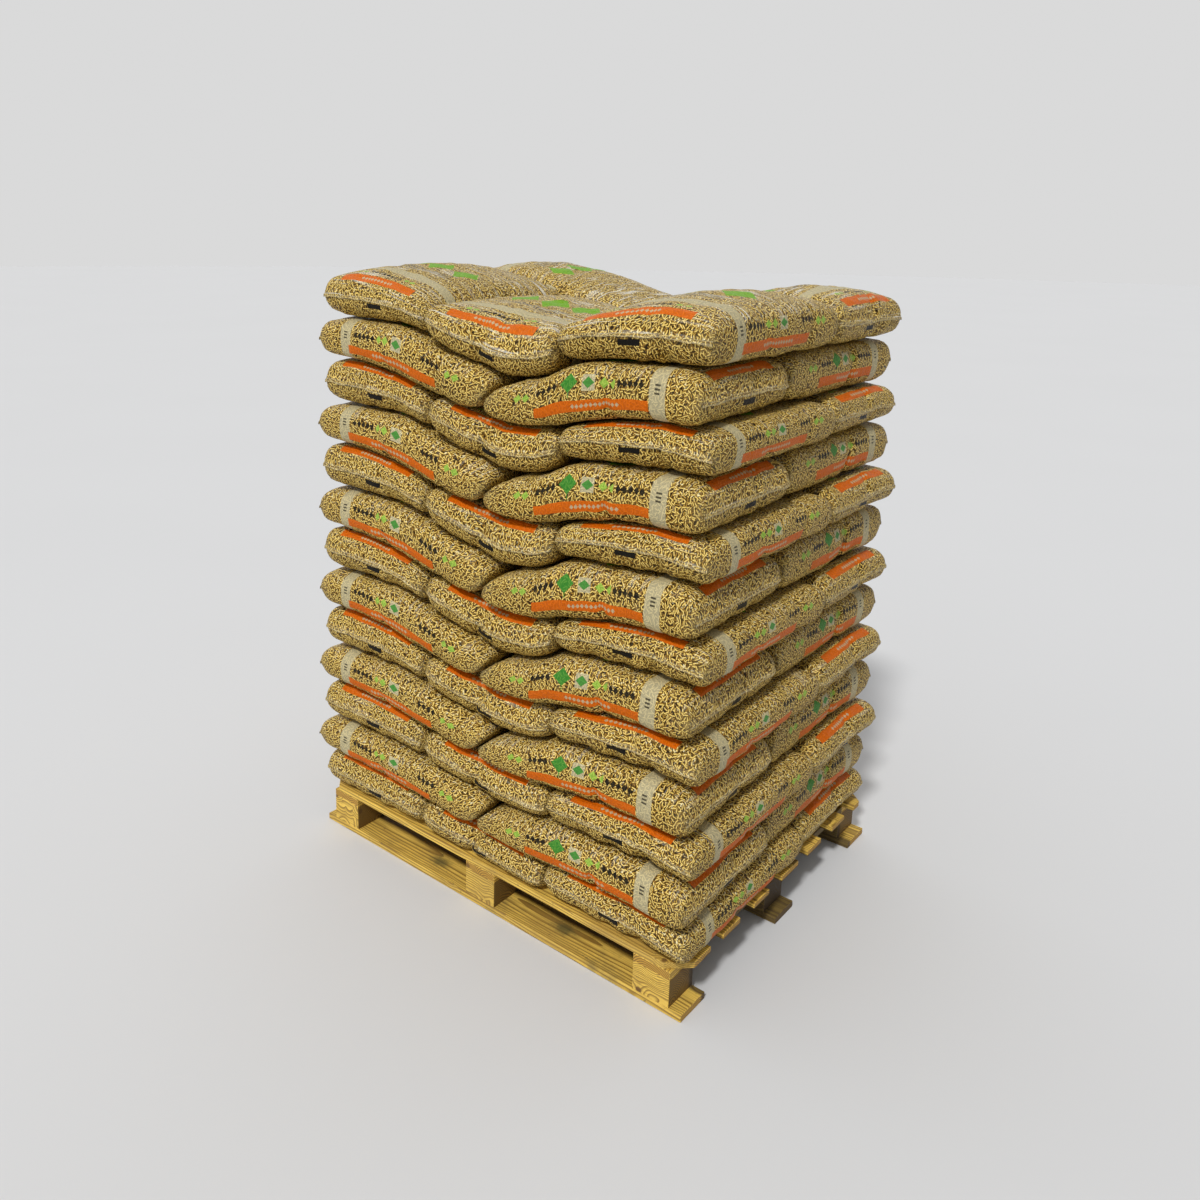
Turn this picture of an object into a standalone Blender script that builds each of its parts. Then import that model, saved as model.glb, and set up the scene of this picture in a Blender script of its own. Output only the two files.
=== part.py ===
"""A loaded pallet: thirteen layers of five film sacks on a one-way wooden pallet.

Metres, +Z up. The origin is on the floor, under the middle of the pallet. +X runs along the long side,
and the front long side faces -Y. Odd layers have three crosswise sacks at the front and two lengthwise
sacks behind them; even layers are the same plan turned half a turn.
"""

import math

import bmesh
import bpy
from mathutils import Vector

GAP = 0.0003  # between pieces that touch

# Pallet
PALLET_LENGTH = 1.200
PALLET_WIDTH = 1.000
RUNNER_THICKNESS = 0.0175
OUTER_RUNNER_WIDTH = 0.104
MIDDLE_RUNNER_WIDTH = 0.097
RUNNER_OVERHANG = 0.033  # past the end blocks
BLOCK_LENGTH = 0.097
BLOCK_HEIGHT = 0.073
TRANSVERSE_THICKNESS = 0.020
DECK_THICKNESS = 0.016
DECK_BOARDS = (  # middle of each board and its width, from the front
    (-0.440, 0.120),
    (-0.283, 0.080),
    (-0.135, 0.078),
    (0.018, 0.092),
    (0.160, 0.080),
    (0.310, 0.080),
    (0.457, 0.086),
)
CORNER_CUT = 0.050  # the deck's four corners are cut off at 45 degrees
SAWN_EDGE = 0.0012

# Stack
LAYERS = 13
PITCH = 0.1115  # height of one layer
SACK_WIDTH = 0.396
SACK_LENGTH = 0.588
CROSSWISE_EDGES = (-0.572, -0.198, 0.204, 0.602)  # sides of the three crosswise sacks of an odd layer, in x
LENGTHWISE_EDGES = (-0.594, -0.006, 0.602)  # ends of its two lengthwise sacks
STACK_MIDDLE = (0.008, -0.028)  # the sacks hang over the deck's front edge
SPREAD = 0.016  # the load makes the lowest sacks this much wider, and the top ones narrower
LAP = 0.008  # how far a sack presses past the line between it and its neighbour

# A sack's outline at each height: share of half the pitch, inset, corner radius
PROFILE = (
    (1.00, 0.047, 0.050),
    (0.80, 0.020, 0.044),
    (0.45, 0.006, 0.036),
    (0.00, 0.000, 0.024),
    (-0.45, 0.006, 0.036),
    (-0.80, 0.020, 0.044),
    (-1.00, 0.047, 0.050),
)
CROWN_PROFILE = (  # the top layer bears nothing, so its sacks are domed
    (1.58, 0.150, 0.050),
    (1.38, 0.088, 0.050),
    (0.98, 0.040, 0.050),
    (0.45, 0.007, 0.036),
    (0.00, 0.000, 0.024),
    (-0.45, 0.006, 0.036),
    (-0.80, 0.020, 0.044),
    (-1.00, 0.047, 0.050),
)
BULGE = 0.006  # the middle of each side stands out this far
CORNER_STEPS = 2

# The stack sags along its middle, where the end of one sack meets the next, and folds along these lines:
# x, how far the top of an odd layer sags there, and how far the top of an even one does
SAG_LINES = (
    (-0.44, 0.000, 0.000),
    (-0.28, 0.020, 0.000),
    (-0.145, 0.052, 0.043),
    (0.06, 0.079, 0.086),
    (0.17, 0.068, 0.066),
    (0.22, 0.050, 0.030),
    (0.30, 0.031, 0.013),
    (0.44, 0.005, 0.005),
    (0.60, 0.000, 0.000),
)
FULL_SAG_LAYER = 6.5  # from here up the load sags in full
TILT = 0.016  # the upper layers lie this much higher at the left end and lower at the right
TILT_FROM = 5
UNEVEN = 0.008  # odd layers are thicker at the left, even layers at the right
HALF_STACK = 0.55  # where the tilt and the unevenness are measured
PACKED = 0.010  # the load packs the lower layers together by up to this much
PACKED_LAYERS = 9


def material(name, colour, roughness):
    """A Principled material with one colour."""
    made = bpy.data.materials.new(name)
    made.use_nodes = True
    shader = made.node_tree.nodes["Principled BSDF"]
    shader.inputs["Base Color"].default_value = (*colour, 1.0)
    shader.inputs["Roughness"].default_value = roughness
    return made


def add_object(name, mesh_source, finish):
    """Puts a bmesh in the scene as a named object."""
    bmesh.ops.recalc_face_normals(mesh_source, faces=mesh_source.faces)
    mesh = bpy.data.meshes.new(name)
    mesh_source.to_mesh(mesh)
    mesh_source.free()
    made = bpy.data.objects.new(name, mesh)
    made.data.materials.append(finish)
    bpy.context.scene.collection.objects.link(made)
    return made


def board(name, low, high, finish, cut_corners=()):
    """A sawn board or block between two corners, with plan corners cut at 45 degrees where asked."""
    outline = []
    for x, y in ((low[0], low[1]), (high[0], low[1]), (high[0], high[1]), (low[0], high[1])):
        inward_x = 1 if x == low[0] else -1
        inward_y = 1 if y == low[1] else -1
        if (inward_x, inward_y) in cut_corners:
            along_x = Vector((x + inward_x * CORNER_CUT, y, low[2]))
            along_y = Vector((x, y + inward_y * CORNER_CUT, low[2]))
            outline += [along_y, along_x] if inward_x == inward_y else [along_x, along_y]
        else:
            outline.append(Vector((x, y, low[2])))
    mesh = bmesh.new()
    base = mesh.faces.new([mesh.verts.new(point) for point in outline])
    lifted = bmesh.ops.extrude_face_region(mesh, geom=[base])["geom"]
    raised = [item for item in lifted if isinstance(item, bmesh.types.BMVert)]
    bmesh.ops.translate(mesh, verts=raised, vec=(0, 0, high[2] - low[2]))
    made = add_object(name, mesh, finish)
    edge = made.modifiers.new("sawn_edge", "BEVEL")
    edge.width = SAWN_EDGE
    edge.segments = 1
    return made


def build_pallet():
    """Runners, blocks, transverse boards and deck boards. Returns the height of the deck."""
    wood = material("pallet_wood", (0.66, 0.44, 0.16), 0.7)
    half_x = PALLET_LENGTH / 2
    half_y = PALLET_WIDTH / 2
    runners = {
        "front": (-half_y, -half_y + OUTER_RUNNER_WIDTH),
        "middle": (-MIDDLE_RUNNER_WIDTH / 2, MIDDLE_RUNNER_WIDTH / 2),
        "back": (half_y - OUTER_RUNNER_WIDTH, half_y),
    }
    end_block = half_x - RUNNER_OVERHANG - BLOCK_LENGTH / 2
    columns = {"left": -end_block, "middle": 0.0, "right": end_block}
    block_foot = RUNNER_THICKNESS + GAP
    block_top = RUNNER_THICKNESS + BLOCK_HEIGHT
    transverse_top = block_top + TRANSVERSE_THICKNESS
    deck_top = transverse_top + DECK_THICKNESS
    for row, (low_y, high_y) in runners.items():
        board(f"runner_{row}", (-half_x, low_y, 0), (half_x, high_y, RUNNER_THICKNESS), wood)
        for column, x in columns.items():
            low = (x - BLOCK_LENGTH / 2, low_y, block_foot)
            high = (x + BLOCK_LENGTH / 2, high_y, block_top)
            board(f"block_{row}_{column}", low, high, wood)
    for column, x in columns.items():
        low = (x - BLOCK_LENGTH / 2, -half_y, block_top + GAP)
        high = (x + BLOCK_LENGTH / 2, half_y, transverse_top)
        board(f"transverse_{column}", low, high, wood)
    for number, (middle, width) in enumerate(DECK_BOARDS, 1):
        cut = {1: ((1, 1), (-1, 1)), len(DECK_BOARDS): ((1, -1), (-1, -1))}.get(number, ())
        low = (-half_x, middle - width / 2, transverse_top + GAP)
        high = (half_x, middle + width / 2, deck_top)
        board(f"deck_board_{number}", low, high, wood, cut)
    return deck_top


def outline(low, high, inset, radius):
    """Plan points of a sack at one height: round corners, and sides that stand out in the middle."""
    x0, y0, x1, y1 = low[0] + inset, low[1] + inset, high[0] - inset, high[1] - inset
    middle = ((x0 + x1) / 2, (y0 + y1) / 2)
    corners = ((x1, y0, -90), (x1, y1, 0), (x0, y1, 90), (x0, y0, 180))
    sides = (
        (x1 + BULGE, middle[1]),
        (middle[0], y1 + BULGE),
        (x0 - BULGE, middle[1]),
        (middle[0], y0 - BULGE),
    )
    points = []
    for (corner_x, corner_y, start), side in zip(corners, sides):
        centre_x = corner_x - math.copysign(radius, corner_x - middle[0])
        centre_y = corner_y - math.copysign(radius, corner_y - middle[1])
        for step in range(CORNER_STEPS + 1):
            angle = math.radians(start + 90 * step / CORNER_STEPS)
            points.append((centre_x + radius * math.cos(angle), centre_y + radius * math.sin(angle)))
        points.append(side)
    return points


def sack(low, high, profile):
    """One closed sack around the height 0, made of one outline for each height of the profile."""
    mesh = bmesh.new()
    loops = []
    for share, inset, radius in profile:
        height = share * (PITCH / 2 - GAP / 2)
        loops.append([mesh.verts.new((x, y, height)) for x, y in outline(low, high, inset, radius)])
    mesh.faces.new(loops[0])
    mesh.faces.new(reversed(loops[-1]))
    for upper, lower in zip(loops, loops[1:]):
        for index in range(len(upper)):
            after = (index + 1) % len(upper)
            mesh.faces.new((upper[index], lower[index], lower[after], upper[after]))
    return mesh


def slots(layer):
    """The plan rectangle of each of a layer's five sacks, pressed into its neighbours by LAP."""
    depth = SACK_LENGTH + SACK_WIDTH
    split = SACK_LENGTH - depth / 2
    rows = []
    for column, (x0, x1) in enumerate(zip(CROSSWISE_EDGES, CROSSWISE_EDGES[1:])):
        rows.append([x0 - LAP * (column > 0), -depth / 2, x1 + LAP * (column < 2), split + LAP])
    for column, (x0, x1) in enumerate(zip(LENGTHWISE_EDGES, LENGTHWISE_EDGES[1:])):
        rows.append([x0 - LAP * (column > 0), split - LAP, x1 + LAP * (column < 1), depth / 2])
    if layer % 2 == 0:
        rows = [[-x1, -y1, -x0, -y0] for x0, y0, x1, y1 in rows]
    wider = 1 + SPREAD * (1 - 2 * (layer - 1) / (LAYERS - 1))
    x, y = STACK_MIDDLE
    return [
        ((x + x0 * wider, y + y0 * wider), (x + x1 * wider, y + y1 * wider)) for x0, y0, x1, y1 in rows
    ]


def level(boundary):
    """The height of the surface on top of a layer above the deck, before it sags."""
    share = min(1.0, boundary / PACKED_LAYERS)
    return boundary * PITCH - PACKED * math.sin(math.pi * share)


def sag(boundary, x):
    """How deep that surface sags at one x, straight from one fold line to the next."""
    column = 1 if boundary % 2 else 2
    if x <= SAG_LINES[0][0] or x >= SAG_LINES[-1][0]:
        return 0.0
    for before, after in zip(SAG_LINES, SAG_LINES[1:]):
        if x <= after[0]:
            break
    share = (x - before[0]) / (after[0] - before[0])
    return before[column] * (1 - share) + after[column] * share


def settle(boundary, x):
    """How far the surface on top of a layer lies above or below its level height, at one x."""
    if boundary == 0:
        return 0.0
    depth = min(1.0, boundary / FULL_SAG_LAYER) * sag(boundary, x)
    tilt = TILT * min(1.0, max(0.0, (boundary - TILT_FROM) / (LAYERS - TILT_FROM - 1)))
    uneven = UNEVEN if boundary % 2 and boundary < LAYERS else 0.0
    return -depth - (tilt + uneven) * x / HALF_STACK


def build_layer(layer, deck_top, film):
    """Five sacks fused into one solid, folded along the sag lines and laid on the layer below."""
    profile = CROWN_PROFILE if layer == LAYERS else PROFILE
    parts = []
    for low, high in slots(layer):
        parts.append(add_object("sack", sack(low, high, profile), film))
    body = parts[0]
    for part in parts[1:]:
        union = body.modifiers.new("union", "BOOLEAN")
        union.operation = "UNION"
        union.object = part
    bpy.context.view_layer.update()
    fused = bpy.data.meshes.new_from_object(body.evaluated_get(bpy.context.evaluated_depsgraph_get()))
    for part in parts:
        bpy.data.objects.remove(part)
    mesh = bmesh.new()
    mesh.from_mesh(fused)
    for x, _, _ in SAG_LINES:
        geometry = [*mesh.verts, *mesh.edges, *mesh.faces]
        bmesh.ops.bisect_plane(mesh, geom=geometry, plane_co=(x, 0, 0), plane_no=(1, 0, 0))
    bmesh.ops.triangulate(mesh, faces=mesh.faces)
    for vert in mesh.verts:
        share = vert.co.z / PITCH + 0.5
        bottom = level(layer - 1) + settle(layer - 1, vert.co.x)
        top = level(layer) + settle(layer, vert.co.x)
        vert.co.z = deck_top + GAP / 2 + bottom + share * (top - bottom)
    return add_object(f"sack_layer_{layer:02d}", mesh, film)


def main():
    """Clears the scene and builds the pallet and its load."""
    for leftover in list(bpy.data.objects):
        bpy.data.objects.remove(leftover)
    deck_top = build_pallet()
    film = material("pellets_in_film", (0.52, 0.36, 0.15), 0.35)
    for layer in range(1, LAYERS + 1):
        build_layer(layer, deck_top, film)


main()
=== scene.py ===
"""Looks for a loaded pallet: sixty-five film sacks of wood pellets on a one-way wooden pallet.

Metres, +Z up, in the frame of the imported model. The front long side faces -Y. Three sack blanks are
simulated as film bags under pressure between plates and walls. Each is then copied into the places of
the stack and settled onto the sack below. The pallet's boards keep their modelled shape and get a finish.
"""

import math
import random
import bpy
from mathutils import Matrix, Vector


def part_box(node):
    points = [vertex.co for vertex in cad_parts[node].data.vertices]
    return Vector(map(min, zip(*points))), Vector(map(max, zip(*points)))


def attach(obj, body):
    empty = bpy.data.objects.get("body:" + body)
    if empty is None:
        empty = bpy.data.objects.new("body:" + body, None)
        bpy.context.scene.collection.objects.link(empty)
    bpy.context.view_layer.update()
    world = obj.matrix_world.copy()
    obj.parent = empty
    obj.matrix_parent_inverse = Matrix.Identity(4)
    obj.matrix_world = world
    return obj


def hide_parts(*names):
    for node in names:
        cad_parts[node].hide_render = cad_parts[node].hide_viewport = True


bl_info = {
    "name": "Pallet of Pellet Sacks",
    "version": (1, 0, 0),
    "blender": (4, 5, 0),
    "location": "View3D > Sidebar > Pallet Load",
    "description": "Film sacks, sawn wood and a plain studio for a loaded pallet",
    "category": "Object",
}

import bpy
import numpy as np
from mathutils import Matrix, Vector, noise

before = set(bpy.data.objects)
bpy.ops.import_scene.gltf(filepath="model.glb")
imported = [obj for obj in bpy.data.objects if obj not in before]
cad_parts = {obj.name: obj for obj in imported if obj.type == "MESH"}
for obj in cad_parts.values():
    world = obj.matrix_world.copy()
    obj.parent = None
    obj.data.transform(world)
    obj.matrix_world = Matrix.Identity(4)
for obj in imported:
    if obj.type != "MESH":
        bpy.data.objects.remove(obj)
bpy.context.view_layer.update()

# The stack, with the values of the modelled layers
DECK_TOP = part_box("deck_board_1")[1].z
GAP = 0.0003
LAYERS = 13
PITCH = 0.1115
SACK_WIDTH = 0.396
SACK_LENGTH = 0.588
STACK_MIDDLE = Vector((0.008, -0.028))
SPREAD = 0.016
CROSSWISE_EDGES = (-0.572, -0.198, 0.204, 0.602)
LENGTHWISE_EDGES = (-0.594, -0.006, 0.602)
SAG_LINES = (  # x, how far the top of an odd layer sags there, and how far the top of an even one does
    (-0.44, 0.000, 0.000),
    (-0.28, 0.020, 0.000),
    (-0.145, 0.052, 0.043),
    (0.06, 0.079, 0.086),
    (0.17, 0.068, 0.066),
    (0.22, 0.050, 0.030),
    (0.30, 0.031, 0.013),
    (0.44, 0.005, 0.005),
    (0.60, 0.000, 0.000),
)
SAG_ROUNDING = 0.030  # the sacks bend over this much of x on each side of such a line
FULL_SAG_LAYER = 6.5
TILT = 0.016
TILT_FROM = 5
UNEVEN = 0.008
HALF_STACK = 0.55
PACKED = 0.010
PACKED_LAYERS = 9

# Sack shapes: whether the left and right sides press against a neighbour, seen from inside the printed end
BLANKS = {"open_left": (False, True), "open_right": (True, False), "between": (True, True)}
SHEET_GAP = 0.002  # between the two film sheets at the welds
WELD_SHARE = 0.15  # of that gap, kept on each side where a weld is closed again
FILM_CLOTH = {
    "quality": 7,
    "mass": 0.05,
    "tension_stiffness": 80,
    "compression_stiffness": 20,
    "shear_stiffness": 20,
    "bending_stiffness": 0.15,
    "tension_damping": 10,
    "compression_damping": 10,
    "shear_damping": 10,
    "bending_damping": 0.5,
    "air_damping": 4,
    "use_pressure": True,
}
APART = 1.0  # from one blank to the next while they fill
PLATE = 0.06  # thickness of the plates and walls that press on them
SLIDE = 0.045  # how far a wall slides in
SLIDE_FRAMES = 22
SLACK_WAVE = 0.0012  # height of the waves in the slack film
WIDE_LUMPS, FINE_LUMPS = 0.055, 0.024  # how wide the lumps of the filling are
CROWN = (0.31, 0.215)  # how far the crown of a top sack reaches along and across it
CROWN_RISE = 0.66
EASING_STEPS = 20
WRINKLE_STEPS = 6
CLEARANCE = 0.0010  # from a sack to the boundary with its neighbour
END_LEAN = 0.72  # where two lengthwise sacks meet, the left one leans over the right one
# How high the side seam of a crosswise sack lies above its middle, on its left and on its right
SEAM_SHIFT = {"open_right": (0.004, 0.004), "between": (-0.010, 0.008), "open_left": (0.004, 0.018)}
# Layers laid a little off their place: how far along X and Y, and how much shorter they are along X
NUDGES = {
    1: (-0.010, 0.008, 0.990),
    10: (0.0, 0.0, 0.995),
    11: (0.0, 0.0, 0.990),
    12: (-0.004, 0.0, 0.985),
    13: (-0.010, 0.0, 0.988),
}

# Materials
# The brightness is painted shade: the deeper layers of pellets are darker.
PELLET_LAYERS = (  # place, turn, height and brightness of each layer of pellets, from the deepest up
    (3.7, 1.43, 0.0, 0.22),
    (2.3, 2.67, 0.5, 0.60),
    (0.9, 3.97, 1.0, 1.0),
)
WOOD_SHIFT = (1.7, 3.1, 0.9)  # how far apart the boards' pieces of wood lie: along, across and up
STAINS = ((0.232, -0.441), (-0.188, -0.449))  # dark spots on top of the front runner
KNOTS_IN_BLOCKS = (22.0, 18.0, 18.0)  # cells in one metre along, across and up, each with a knot
KNOTS_IN_BOARDS = (4.5, 8.0, 8.0)
END_PALE = (0.21, 0.118, 0.018)  # end grain
END_DARK = (0.04, 0.019, 0.004)
NAIL_SUNK = 0.0003  # depth of the dish in a nail head, and how deep the nail goes in


def smooth(value):
    """0 to 1 with soft ends."""
    value = min(1.0, max(0.0, value))
    return value * value * (3 - 2 * value)


def level(boundary):
    """The height of the surface on top of a layer above the deck, before it sags."""
    return boundary * PITCH - PACKED * math.sin(math.pi * min(1.0, boundary / PACKED_LAYERS))


def sag(boundary, x):
    """How deep that surface sags at one x, straight from one sag line to the next."""
    column = 1 if boundary % 2 else 2
    if x <= SAG_LINES[0][0] or x >= SAG_LINES[-1][0]:
        return 0.0
    for before, after in zip(SAG_LINES, SAG_LINES[1:]):
        if x <= after[0]:
            share = (x - before[0]) / (after[0] - before[0])
            return before[column] * (1 - share) + after[column] * share
    return 0.0


def settle(boundary, x):
    """How far that surface lies above or below its level height, at one x."""
    if boundary == 0:
        return 0.0
    rounded = [sag(boundary, x + SAG_ROUNDING * step / 2) for step in (-2, -1, 0, 1, 2)]
    depth = min(1.0, boundary / FULL_SAG_LAYER) * sum(rounded) / len(rounded)
    tilt = TILT * min(1.0, max(0.0, (boundary - TILT_FROM) / (LAYERS - TILT_FROM - 1)))
    uneven = UNEVEN if boundary % 2 and boundary < LAYERS else 0.0
    return -depth - (tilt + uneven) * x / HALF_STACK


def places(layer):
    """Middle, heading, blank, lie and stretch of each of a layer's sacks. The printed ends point outwards."""
    depth = SACK_LENGTH + SACK_WIDTH
    split = SACK_LENGTH - depth / 2
    found = []
    for column, blank in enumerate(("open_right", "between", "open_left")):
        low, high = CROSSWISE_EDGES[column : column + 2]
        middle = Vector(((low + high) / 2, split - SACK_LENGTH / 2))
        stretch = Vector((1.0, (high - low) / SACK_WIDTH))
        found.append((middle, math.radians(90), blank, "crosswise", stretch))
    for column, (heading, blank) in enumerate(((0, "open_right"), (180, "open_left"))):
        low, high = LENGTHWISE_EDGES[column : column + 2]
        middle = Vector(((low + high) / 2, split + SACK_WIDTH / 2))
        stretch = Vector(((high - low) / SACK_LENGTH, 1.0))
        found.append((middle, math.radians(heading), blank, "lengthwise", stretch))
    if layer % 2 == 0:
        found = [(-middle, heading + math.pi, *rest) for middle, heading, *rest in found]
    return found


class SackSettings(bpy.types.PropertyGroup):
    """Size, filling and print of the sacks."""

    flat_length: bpy.props.FloatProperty(
        name="Flat Length", description="Empty sack from weld to weld", default=0.655, unit="LENGTH"
    )
    flat_width: bpy.props.FloatProperty(
        name="Flat Width", description="Empty film tube, laid flat", default=0.468, unit="LENGTH"
    )
    slack_height: bpy.props.FloatProperty(
        name="Slack Height", description="Height before filling", default=0.085, unit="LENGTH"
    )
    ear: bpy.props.FloatProperty(
        name="Ear", description="How far a free corner stands out at the weld", default=0.007, unit="LENGTH"
    )
    pressure: bpy.props.FloatProperty(
        name="Filling Pressure", description="How hard the filling presses on the film", default=70.0
    )
    frames: bpy.props.IntProperty(
        name="Filling Time", description="Frames of simulation", default=44, min=10
    )
    fin: bpy.props.FloatProperty(
        name="Weld Fin", description="Loose film past each weld", default=0.007, unit="LENGTH"
    )
    lumps: bpy.props.FloatProperty(
        name="Lumps", description="Unevenness of the filling", default=0.0024, unit="LENGTH"
    )
    pellet_radius: bpy.props.FloatProperty(
        name="Pellet Radius", description="Half the pellet's thickness", default=0.0020, unit="LENGTH"
    )
    pellet_cell: bpy.props.FloatProperty(
        name="Pellet Spacing", description="Mean distance between pellets", default=0.0074, unit="LENGTH"
    )
    orange: bpy.props.FloatVectorProperty(
        name="Band", description="Colour of the bands", default=(0.70, 0.135, 0.0), size=3, subtype="COLOR"
    )
    green: bpy.props.FloatVectorProperty(
        name="Green", description="Dark green print", default=(0.04, 0.27, 0.03), size=3, subtype="COLOR"
    )
    light_green: bpy.props.FloatVectorProperty(
        name="Light Green", description="Paler print", default=(0.33, 0.56, 0.07), size=3, subtype="COLOR"
    )
    cream: bpy.props.FloatVectorProperty(
        name="Ring", description="Pale ring", default=(0.57, 0.51, 0.31), size=3, subtype="COLOR"
    )
    black: bpy.props.FloatVectorProperty(
        name="Mark", description="Dark print", default=(0.006, 0.006, 0.005), size=3, subtype="COLOR"
    )


class WoodSettings(bpy.types.PropertyGroup):
    """Colours and nails of the pallet."""

    early: bpy.props.FloatVectorProperty(
        name="Pale Wood", description="Pale grain", default=(0.88, 0.59, 0.105), size=3, subtype="COLOR"
    )
    late: bpy.props.FloatVectorProperty(
        name="Dark Grain", description="Dark grain", default=(0.24, 0.125, 0.018), size=3, subtype="COLOR"
    )
    rings: bpy.props.FloatProperty(name="Year Rings", description="Year rings in one metre", default=190.0)
    # How far from the middle the painted shadow and dirt inside the openings reach
    shade_and_grime_depth: bpy.props.FloatProperty(
        name="Shade And Grime Reach", description="Its reach from the middle", default=0.413, unit="LENGTH"
    )
    nail_radius: bpy.props.FloatProperty(
        name="Nail Head", description="Radius of a nail head", default=0.0032, unit="LENGTH"
    )


class StageSettings(bpy.types.PropertyGroup):
    """Floor, light and camera."""

    floor: bpy.props.FloatVectorProperty(
        name="Floor", description="Floor colour", default=(0.672, 0.678, 0.690), size=3, subtype="COLOR"
    )
    key: bpy.props.FloatProperty(name="Key Light", description="Strength of the front light", default=2.0)
    sky: bpy.props.FloatProperty(name="Sky", description="Strength of the even light", default=0.70)
    lens: bpy.props.FloatProperty(name="Lens", description="Focal length", default=31.146, unit="CAMERA")


class Nodes:
    """Adds and links the nodes of one tree."""

    def __init__(self, tree):
        self.tree = tree

    def put(self, socket, value):
        """Links or sets one input."""
        if isinstance(value, bpy.types.NodeSocket):
            self.tree.links.new(value, socket)
        elif value is not None:
            socket.default_value = value

    def fill(self, node, inputs):
        """Links or sets the inputs of a node by name."""
        for name, value in inputs.items():
            self.put(node.inputs[name], value)

    def add(self, kind, inputs=None, **settings):
        """A node with its settings and inputs."""
        node = self.tree.nodes.new(kind)
        for name, value in settings.items():
            setattr(node, name, value)
        self.fill(node, inputs or {})
        return node

    def math(self, operation, first, second=None, third=None, clamp=False):
        """One Math node."""
        node = self.add("ShaderNodeMath", operation=operation, use_clamp=clamp)
        for socket, value in zip(node.inputs, (first, second, third)):
            self.put(socket, value)
        return node.outputs[0]

    def times(self, *values):
        """A product. Of masks, it is 1 where every mask is 1."""
        result = values[0]
        for value in values[1:]:
            result = self.math("MULTIPLY", result, value)
        return result

    def line(self, value, factor, start, clamp=False):
        """A value times a factor, added to a start."""
        return self.math("MULTIPLY_ADD", value, factor, start, clamp)

    def minus(self, first, second):
        """A difference."""
        return self.math("SUBTRACT", first, second)

    def size(self, value):
        """A number without its sign."""
        return self.math("ABSOLUTE", value)

    def inside(self, value, low, high):
        """1 between two limits, 0 outside."""
        return self.math("COMPARE", value, (low + high) / 2, (high - low) / 2)

    def either(self, *masks):
        """1 where any mask is 1."""
        result = masks[0]
        for mask in masks[1:]:
            result = self.math("MAXIMUM", result, mask)
        return result

    def vector(self, operation, first, second=None, scale=None):
        """One Vector Math node."""
        node = self.add("ShaderNodeVectorMath", operation=operation)
        for number, value in ((0, first), (1, second), (3, scale)):
            self.put(node.inputs[number], value)
        return node.outputs["Value" if operation == "LENGTH" else "Vector"]

    def turn(self, vector, angle):
        """A vector turned about Z."""
        inputs = {"Vector": vector, "Angle": angle}
        return self.add("ShaderNodeVectorRotate", inputs, rotation_type="Z_AXIS").outputs["Vector"]

    def parts(self, vector):
        """The X, Y and Z of a vector."""
        return self.add("ShaderNodeSeparateXYZ", {"Vector": vector}).outputs

    def join(self, x=0.0, y=0.0, z=0.0):
        """A vector of three numbers."""
        return self.add("ShaderNodeCombineXYZ", {"X": x, "Y": y, "Z": z}).outputs["Vector"]

    def facing(self):
        """The X, Y and Z of the surface's direction."""
        return self.parts(self.add("ShaderNodeNewGeometry").outputs["Normal"])

    def object_place(self):
        """A point's place on its object."""
        return self.add("ShaderNodeTexCoord").outputs["Object"]

    def mix(self, share, low, high):
        """A blend of two colours."""
        inputs = {"Factor": share, "A": self.colour(low), "B": self.colour(high)}
        return self.add("ShaderNodeMix", inputs, data_type="RGBA").outputs["Result"]

    def blend(self, share, low, high):
        """A blend of two numbers."""
        inputs = {"Factor": share, "A": low, "B": high}
        return self.add("ShaderNodeMix", inputs, data_type="FLOAT").outputs["Result"]

    def ramp(self, value, low, high, start=0.0, end=1.0):
        """A number carried from one range to another, held at both ends."""
        inputs = {"Value": value, "From Min": low, "From Max": high, "To Min": start, "To Max": end}
        return self.add("ShaderNodeMapRange", inputs, interpolation_type="SMOOTHSTEP").outputs["Result"]

    def noise(self, vector, scale, detail=2.0, roughness=0.5, dimensions="3D"):
        """A Noise Texture's value. The scale is one number, or one for each axis."""
        if isinstance(scale, tuple):
            vector, scale = self.vector("MULTIPLY", vector, scale), 1.0
        inputs = {"Vector": vector, "Scale": scale, "Detail": detail, "Roughness": roughness}
        return self.add("ShaderNodeTexNoise", inputs, noise_dimensions=dimensions).outputs["Fac"]

    def ridges(self, value, power):
        """Thin ridges along the middle value of a noise."""
        return self.math("POWER", self.minus(1.0, self.size(self.line(value, 2.0, -1.0))), power)

    def bump(self, height, strength, distance, under=None):
        """The direction of a surface with relief, which may lie over other relief."""
        inputs = {"Height": height, "Strength": strength, "Distance": distance, "Normal": under}
        return self.add("ShaderNodeBump", inputs).outputs["Normal"]

    @staticmethod
    def colour(value):
        """A colour with its alpha, or a socket as it is."""
        return value if isinstance(value, bpy.types.NodeSocket) else (*value, 1.0)


def new_material(name):
    """An empty material with its Principled shader. Returns the material, its nodes and the shader."""
    material = bpy.data.materials.new(name)
    material.use_nodes = True
    shader = material.node_tree.nodes["Principled BSDF"]
    return material, Nodes(material.node_tree), shader


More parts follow.
